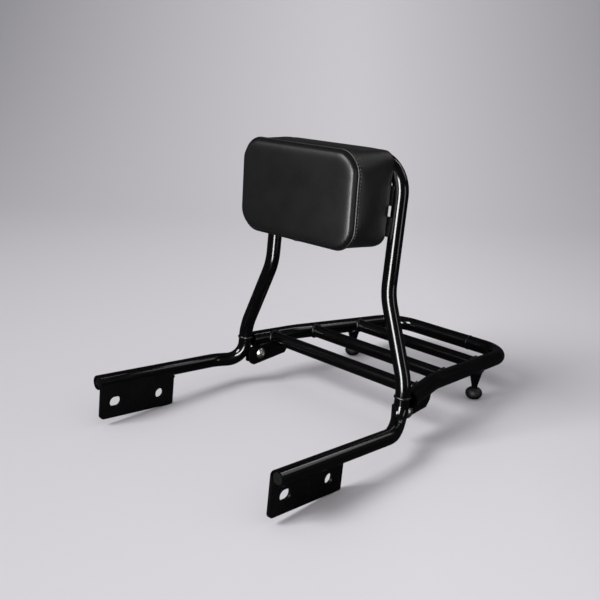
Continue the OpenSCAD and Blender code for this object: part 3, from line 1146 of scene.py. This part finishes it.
    def inflate(self, obj: bpy.types.Object) -> None:
        """Blow the cover up like stuffed vinyl, held at its seam and its back.

        Args:
            obj: the blank, in the pad's own frame in mm.
        """
        front = -(self.depth - self.start_inset)
        held = []
        for v in obj.data.vertices:
            x, y, z = v.co
            edge = self.edge_distance(x, z)
            at_seam = y < front + self.seam_depth and edge < self.seam_width
            at_back = y > -self.back_edge_r * self.back_hold
            if at_seam or at_back:
                held.append(v.index)
        group = obj.vertex_groups.new(name="held")
        group.add(held, 1.0, "REPLACE")
        rest = [v.co.copy() for v in obj.data.vertices]
        # The simulation runs with 100 mm as its unit of length.
        obj.scale = (0.01, 0.01, 0.01)
        bake_place(obj)
        cloth = obj.modifiers.new("stuffing", "CLOTH")
        settings = cloth.settings
        settings.quality = 6
        settings.mass = 0.3
        settings.tension_stiffness = 25
        settings.compression_stiffness = 25
        settings.shear_stiffness = 12
        settings.bending_stiffness = 2
        settings.use_pressure = True
        settings.uniform_pressure_force = self.pressure
        settings.vertex_group_mass = "held"
        settings.effector_weights.gravity = 0
        cloth.collision_settings.use_collision = False
        cloth.collision_settings.use_self_collision = False
        scene = bpy.context.scene
        scene.frame_start, scene.frame_end = 1, self.frames
        for number in range(1, self.frames + 1):
            scene.frame_set(number)
        apply_all(obj)
        scene.frame_set(1)
        obj.scale = (100, 100, 100)
        bake_place(obj)
        for v, old in zip(obj.data.vertices, rest):
            move = v.co - old
            if move.length > self.cap:
                v.co = old + move.normalized() * self.cap

    def edge_distance(self, x: float, z: float) -> float:
        """How far a place lies inside the pad's outline.

        Args:
            x: place across the pad.
            z: place up the pad.

        Returns:
            The distance, below 0 outside.
        """
        w, h, r = self.width / 2, self.height / 2, self.corner_r
        dx, dz = abs(x) - (w - r), abs(z) - (h - r)
        if dx > 0 and dz > 0:
            return r - math.hypot(dx, dz)
        return r - max(dx, dz)

    def shape(self, obj: bpy.types.Object) -> None:
        """Crown the front panel, draw the seam in, and lay the back on the hoop.

        Args:
            obj: the cover, in the pad's own frame in mm.
        """
        front = -self.depth
        slope = math.tan(math.radians(self.hoop_lean - self.lean))
        low = -self.height / 2
        for v in obj.data.vertices:
            x, y, z = v.co
            inside = max(0.0, self.edge_distance(x, z))
            if y < front + self.crown_depth:
                share = min(1.0, (front + self.crown_depth - y) / self.crown_blend)
                rise = max(0.0, inside - self.crown_from) / self.crown_run
                lift = self.crown * (1 - math.exp(-rise))
                v.co.y += share * (front - lift - y) * min(1.0, inside / self.rim)
            # The stitched seam lies in a shallow furrow on the side band.
            gap = abs(y - (front + self.stitch_y))
            if gap < self.furrow_reach and inside < self.furrow_band:
                pull = self.furrow * math.exp(-((gap / self.furrow_width) ** 2))
                v.co -= Vector((x, 0, z)).normalized() * pull
            # The corners are squarer towards the back than at the front.
            v.co.x, v.co.z = self.square_corner(v.co.x, v.co.z, y)
            # The pad grows thicker towards its top, where the hoop leans away.
            if y > self.lean_from:
                v.co.y += (z - low) * slope * min(1.0, (y - self.lean_from) / self.lean_run)

    def square_corner(self, x: float, z: float, y: float) -> tuple[float, float]:
        """Move a place in a rounded corner outward, to a smaller corner radius.

        Args:
            x: place across the pad.
            z: place up the pad.
            y: depth, which sets how much smaller the radius is.

        Returns:
            The new places across and up.
        """
        r = self.corner_r
        dx, dz = abs(x) - (self.width / 2 - r), abs(z) - (self.height / 2 - r)
        away = math.hypot(dx, dz)
        if dx <= 0 or dz <= 0 or away < 1:
            return x, z
        run = self.depth - 2 * self.square_from
        share = min(1.0, max(0.0, (y + self.depth - self.square_from) / run))
        gain = (r - self.rear_corner_r) * share
        ux, uz = dx / away, dz / away
        # The straight edges run on up to where the smaller round starts.
        if uz * gain > ux * r:
            reach = r / uz
        elif ux * gain > uz * r:
            reach = r / ux
        else:
            slant = gain * (ux + uz)
            reach = slant + math.sqrt(slant**2 - 2 * gain**2 + (r - gain) ** 2)
        more = reach / r - 1
        return x + math.copysign(dx * more, x), z + math.copysign(dz * more, z)

    def lay_back(self, obj: bpy.types.Object) -> None:
        """Let the back bulge towards the hoop and straps, and stop just short.

        Args:
            obj: the cover, in the part's frame.
        """
        solids = [
            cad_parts[name]
            for name in ("backrest_hoop", "upper_pad_strap", "lower_pad_strap")
        ]
        inverse = self.place().inverted()
        way = Vector((0, 1, 0))
        for v in obj.data.vertices:
            depth = (inverse @ v.co).y
            if depth < self.bulge_from:
                continue
            room = self.rear_reach
            for solid in solids:
                back = solid.matrix_world.inverted()
                hit, at, _, _ = solid.ray_cast(back @ v.co, back.to_3x3() @ way)
                if hit:
                    gap = ((solid.matrix_world @ at) - v.co).length / MM
                    room = min(room, max(0.0, gap - self.hoop_clear))
            v.co.y += room * MM * min(1.0, (depth - self.bulge_from) / self.bulge_run)

    def cover(self, shop: Workshop) -> bpy.types.Object:
        """Make the vinyl cover.

        Args:
            shop: where materials come from and pieces go.

        Returns:
            The cover, in the part's frame.
        """
        obj = self.blank()
        self.inflate(obj)
        smooth = obj.modifiers.new("ease", "SMOOTH")
        smooth.factor, smooth.iterations = 0.5, 4
        subdivide(obj)
        apply_all(obj)
        self.shape(obj)
        subdivide(obj)
        apply_all(obj)
        obj.data.transform(self.place())
        self.lay_back(obj)
        choose(obj)
        bpy.ops.object.shade_smooth()
        shop.deliver(obj, "pad_upholstery", "vinyl")
        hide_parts("pad_cover", "pad_foam", "pad_board")
        return obj

    def piping(self, shop: Workshop) -> bpy.types.Object:
        """Make the piping round the front panel.

        Args:
            shop: where materials come from and pieces go.

        Returns:
            The piping.
        """

        def swell(p: Point) -> float:
            """Thicken the cord where its two ends lap."""
            if p[2] >= 0:
                return 1.0
            return 1 + self.lap_swell * math.exp(-(((p[0] - self.lap_x) / self.lap_width) ** 2))

        points = self.outline(self.piping_inset, -self.depth + self.piping_sink)
        obj = bead(points, self.piping_r, True, swell=swell)
        # A bead's mesh is in metres, so it is taken back to mm before it is placed.
        obj.data.transform(self.place() @ Matrix.Scale(1 / MM, 4))
        shop.deliver(obj, "pad_welt_cord", "vinyl")
        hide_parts("pad_piping")
        return obj

    def stitches(self, shop: Workshop, cover: bpy.types.Object) -> bpy.types.Object:
        """Sew a row of stitches along the side band behind the piping.

        Args:
            shop: where materials come from and pieces go.
            cover: the finished cover, which the stitches lie on.

        Returns:
            All stitches as one piece.
        """
        line = self.outline(-self.lay_from, -self.depth + self.stitch_y, 0.5)
        run = [0.0]
        for a, b in zip(line, line[1:]):
            run.append(run[-1] + (Vector(b) - Vector(a)).length)
        count = int(run[-1] / self.stitch_pitch)
        place = self.place()
        middle = place @ Vector((0, -self.depth + self.stitch_y, 0))
        deselect()
        bpy.ops.mesh.primitive_uv_sphere_add(segments=8, ring_count=5, radius=1)
        seed = active()
        seed.scale = (self.stitch_len / 2 * MM, self.thread_r * MM, self.thread_r * MM)
        bake_place(seed)
        parts = []
        cursor = 0
        for n in range(count):
            want = (n + 0.5) * run[-1] / count
            while run[cursor + 1] < want:
                cursor += 1
            p = place @ Vector(line[cursor])
            q = place @ Vector(line[cursor + 1])
            tangent = (q - p).normalized()
            hit, at, normal, _ = cover.ray_cast(p, (middle - p).normalized())
            if not hit:
                continue
            piece = seed.copy()
            piece.data = seed.data.copy()
            bpy.context.collection.objects.link(piece)
            up = normal.cross(tangent).normalized()
            turn = Matrix((tangent, up, normal)).transposed().to_4x4()
            piece.data.transform(Matrix.Translation(at + normal * self.thread_lift * MM) @ turn)
            parts.append(piece)
        bpy.data.objects.remove(seed)
        obj = join(parts, "pad_stitches")
        choose(obj)
        bpy.ops.object.shade_smooth()
        return shop.deliver(obj, "pad_stitches", "thread")

    def build(self, shop: Workshop) -> None:
        """Make the pad's pieces.

        Args:
            shop: where materials come from and pieces go.
        """
        shop.dress_nodes(("pad_board",), "plywood")
        shop.dress_nodes(("pad_foam",), "foam")
        shop.dress_nodes(("pad_cover", "pad_piping"), "vinyl")
        cover = self.cover(shop)
        self.piping(shop)
        self.stitches(shop, cover)


@dataclass(frozen=True)
class Lamp:
    """A rectangular lamp of the studio, in metres and watts.

    Attributes:
        name: its name.
        at: its place.
        size: its width and height.
        power: its power.
        shine_only: whether it draws highlights but casts no light on the floor.
        aim_z: the height that it points at.
    """

    name: str
    at: Point
    size: tuple[float, float]
    power: float
    shine_only: bool = False
    aim_z: float = 0.15


@dataclass
class Studio:
    """Sweep, lamps and camera, in metres."""

    # The camera's place is counted from the hoop joint.
    camera_at: Point = (0.679184, -0.751862, 0.471307)
    azimuth: float = 43.577
    elevation: float = 17.053
    roll: float = -2.205
    focal_px: float = 813.059
    image_px: float = 600.0
    sensor_mm: float = 36.0
    # The paper: cells a side, size, how far behind it bends up, and its bend.
    sweep_cells: int = 140
    sweep_size: float = 15.0
    wall_from: float = 1.3
    wall_bend_r: float = 2.2
    lamps: tuple[Lamp, ...] = (
        Lamp("front_key", (-0.99, -3.22, 2.9), (1.65, 1.65), 144.0),
        Lamp("upright_strip", (0.26, -0.46, 0.3), (0.16, 0.56), 5.5, True, 0.3),
        Lamp("side_strip", (1.25, 0.25, 0.35), (0.25, 0.7), 1.3, True, 0.35),
        Lamp("rear_softbox", (0.85, 1.45, 1.35), (0.9, 0.7), 2.2, True),
        Lamp("rear_strip", (0.35, 1.5, 1.9), (0.12, 1.0), 2.6, True),
    )

    def sweep(self) -> None:
        """Make the pale floor that curves up into a wall behind the part."""
        deselect()
        bpy.ops.mesh.primitive_grid_add(
            x_subdivisions=self.sweep_cells,
            y_subdivisions=self.sweep_cells,
            size=self.sweep_size,
        )
        obj = active()
        obj.name = "studio_sweep"
        turn = math.radians(self.azimuth)
        away = Vector((-math.sin(turn), math.cos(turn), 0))
        for v in obj.data.vertices:
            run = v.co.dot(away) - self.wall_from
            if run > 0:
                bend = min(run / self.wall_bend_r, math.pi / 2)
                rest = run - bend * self.wall_bend_r
                v.co += away * (self.wall_bend_r * math.sin(bend) - run)
                v.co.z = self.wall_bend_r * (1 - math.cos(bend)) + rest
        choose(obj)
        bpy.ops.object.shade_smooth()
        material = bpy.data.materials.new("matt_paper_sweep")
        material.use_nodes = True
        tree = material.node_tree
        tree.nodes.clear()
        place = add_node(tree, "ShaderNodeTexCoord").outputs["Object"]
        # Matt light grey paper with painted shade: darker out at the sides and up the wall, where
        # less light falls.
        turned = add_node(
            tree,
            "ShaderNodeVectorRotate",
            {"rotation_type": "Z_AXIS"},
            {"Vector": place, "Angle": -turn},
        ).outputs["Vector"]
        scaled = add_node(
            tree,
            "ShaderNodeMapping",
            {},
            {"Vector": turned, "Location": (-0.08, 0, 0), "Scale": (0.56, 0.02, 0.1)},
        ).outputs["Vector"]
        far = add_node(
            tree, "ShaderNodeVectorMath", {"operation": "LENGTH"}, {0: scaled}
        ).outputs["Value"]
        share = add_node(
            tree,
            "ShaderNodeMapRange",
            {},
            {"Value": far, "From Min": 0.04, "From Max": 1.0},
        ).outputs["Result"]
        # Painted shade: the paper runs from light grey near the part to a darker grey far out.
        tone = blend(tree, share, "#dbd8dc", "#8d8c90")
        paper = add_node(tree, "ShaderNodeBsdfDiffuse", {}, {"Color": tone})
        # Painted reflection: rays reflected by the gloss coat see the paper as dark grey, so the
        # tubes mirror dark.
        dark_in_reflections = add_node(tree, "ShaderNodeBsdfDiffuse", {}, {"Color": srgb("#2e2e30")})
        surface = swap_in_reflections(tree, paper.outputs["BSDF"], dark_in_reflections.outputs["BSDF"])
        add_node(tree, "ShaderNodeOutputMaterial", {}, {"Surface": surface})
        obj.data.materials.append(material)

    def world(self) -> None:
        """Even light from all round, which reflections see dim, so the gloss mirrors dark."""
        world = bpy.data.worlds.new("studio_air")
        bpy.context.scene.world = world
        world.use_nodes = True
        tree = world.node_tree
        tree.nodes.clear()
        air, dark_in_reflections = (
            add_node(
                tree, "ShaderNodeBackground", {}, {"Color": srgb("#f4f4f6"), "Strength": strength}
            ).outputs["Background"]
            for strength in (0.66, 0.05)
        )
        surface = swap_in_reflections(tree, air, dark_in_reflections)
        add_node(tree, "ShaderNodeOutputWorld", {}, {"Surface": surface})

    def lights(self) -> None:
        """Set up the soft boxes and strips."""
        for spec in self.lamps:
            deselect()
            bpy.ops.object.light_add(type="AREA", location=spec.at)
            lamp = active()
            lamp.name = spec.name
            lamp.data.shape = "RECTANGLE"
            lamp.data.size, lamp.data.size_y = spec.size
            lamp.data.energy = spec.power
            lamp.visible_camera = False
            lamp.visible_diffuse = not spec.shine_only
            way = Vector((0, JOINT_Y * MM, spec.aim_z)) - Vector(spec.at)
            lamp.rotation_mode = "QUATERNION"
            lamp.rotation_quaternion = way.to_track_quat("-Z", "Y")
            LOG.info("lamp %s", spec.name)

    def camera(self) -> None:
        """Set the camera where the photograph was taken."""
        az, el = math.radians(self.azimuth), math.radians(self.elevation)
        back = Vector(
            (math.sin(az) * math.cos(el), -math.cos(az) * math.cos(el), math.sin(el))
        )
        right = (-back).cross(Vector((0, 0, 1))).normalized()
        down = (-back).cross(right)
        roll = math.radians(self.roll)
        x = right * math.cos(roll) + down * math.sin(roll)
        y = -(down * math.cos(roll) - right * math.sin(roll))
        deselect()
        bpy.ops.object.camera_add(
            location=Vector(self.camera_at) + Vector((0, JOINT_Y * MM, 0))
        )
        cam = active()
        cam.name = "studio_camera"
        cam.rotation_mode = "QUATERNION"
        cam.rotation_quaternion = Matrix((x, y, back)).transposed().to_quaternion()
        cam.data.sensor_width = self.sensor_mm
        cam.data.lens = self.focal_px * self.sensor_mm / self.image_px
        cam.data.clip_start, cam.data.clip_end = 0.01, 50
        bpy.context.scene.camera = cam

    def build(self) -> None:
        """Set the studio up."""
        self.camera()
        self.sweep()
        self.world()
        self.lights()
        bpy.context.scene.view_settings.view_transform = "Standard"


def main() -> None:
    logging.basicConfig(level=logging.INFO, format="%(name)s: %(message)s")
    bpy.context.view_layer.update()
    shop = Workshop(Palette())
    Studio().build()
    Tubework().build(shop)
    Fasteners().build(shop)
    Pad().build(shop)


if __name__ == "__main__":
    main()
